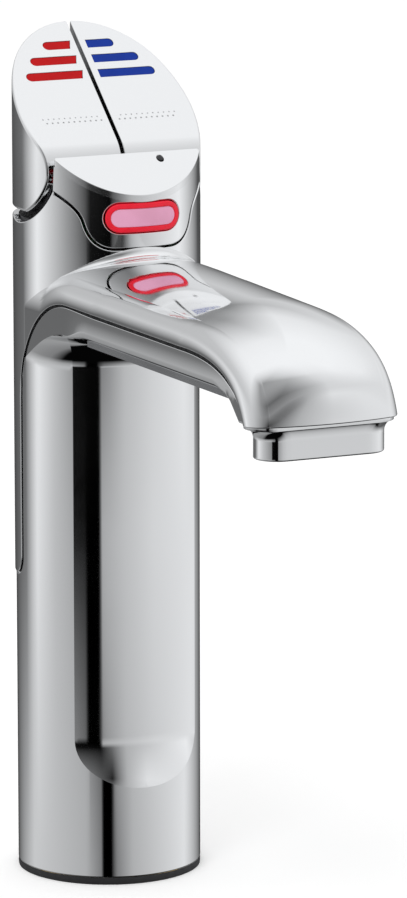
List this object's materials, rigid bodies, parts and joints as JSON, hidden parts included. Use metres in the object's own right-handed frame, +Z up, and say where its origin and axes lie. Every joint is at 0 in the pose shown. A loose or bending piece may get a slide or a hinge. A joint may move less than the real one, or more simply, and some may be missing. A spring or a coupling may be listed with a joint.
{
  "type": "boiling water tap",
  "caption": "Deck-mounted tap with a flat horizontal spout, a slanted pair of press levers for boiling and chilled water and a lit safety button.",
  "frame": {"origin": "centre of the column's base, on the worktop", "axes": "+Z up, the spout reaches towards -Y, the boiling lever is on -X and the chilled lever on +X"},
  "size_m": [0.0608, 0.1954, 0.2759],
  "materials": {
    "chrome": "polished",
    "satin_chrome": "satin",
    "cover_chrome": "polished",
    "gasket_rubber": "matte",
    "brass_insert": "machined",
    "steel": "brushed",
    "cast_frame": "polished casting",
    "red_enamel": "gloss",
    "blue_enamel": "gloss",
    "button_red": "gloss, lit",
    "button_pink": "frosted, lit",
    "black_plastic": "matte",
    "circuit_board": "satin",
    "copper_tube": "drawn",
    "plastic_tube": "satin"
  },
  "bodies": {
    "root": {"column_body": "chrome", "upper_housing": "chrome", "outlet_nozzle": "chrome", "safety_panel": "chrome", "spout_cover": "cover_chrome", "outlet_insert": "black_plastic", "base_gasket": "gasket_rubber", "base_insert": "brass_insert", "base_screws": "steel", "cable_grommet": "gasket_rubber", "signal_lead": "black_plastic", "boiling_tube": "copper_tube", "vent_tube": "plastic_tube", "chilled_tube": "plastic_tube", "pivot_frame": "cast_frame", "frame_screws": "steel", "pivot_shaft": "steel", "shaft_clips": "steel", "boiling_spring": "steel", "chilled_spring": "steel", "sensor_board": "circuit_board", "lever_sensors": "black_plastic", "cap_plate": "satin_chrome", "filter_lamp": "black_plastic", "control_board": "circuit_board", "safety_switch": "black_plastic", "button_lamps": "button_red"},
    "boiling_side": {"boiling_lever": "satin_chrome", "boiling_bars": "red_enamel", "boiling_magnet": "steel"},
    "chilled_side": {"chilled_lever": "satin_chrome", "chilled_bars": "blue_enamel", "chilled_magnet": "steel"},
    "button": {"safety_button": "button_red", "button_lens": "button_pink"}
  },
  "joints": [
    {"name": "boiling_press", "type": "hinge", "parent": "root", "child": "boiling_side", "pos_m": [0, 0.002, 0.235], "axis": [1, 0, 0], "range_deg": [-4, 6], "stiffness_Nm_per_rad": 1.5},
    {"name": "chilled_press", "type": "hinge", "parent": "root", "child": "chilled_side", "pos_m": [0, 0.002, 0.235], "axis": [1, 0, 0], "range_deg": [-4, 6], "stiffness_Nm_per_rad": 1.5},
    {"name": "safety_press", "type": "slide", "parent": "root", "child": "button", "axis": [0, 1, 0], "range_m": [0, 0.0012], "stiffness_N_per_m": 800}
  ]
}
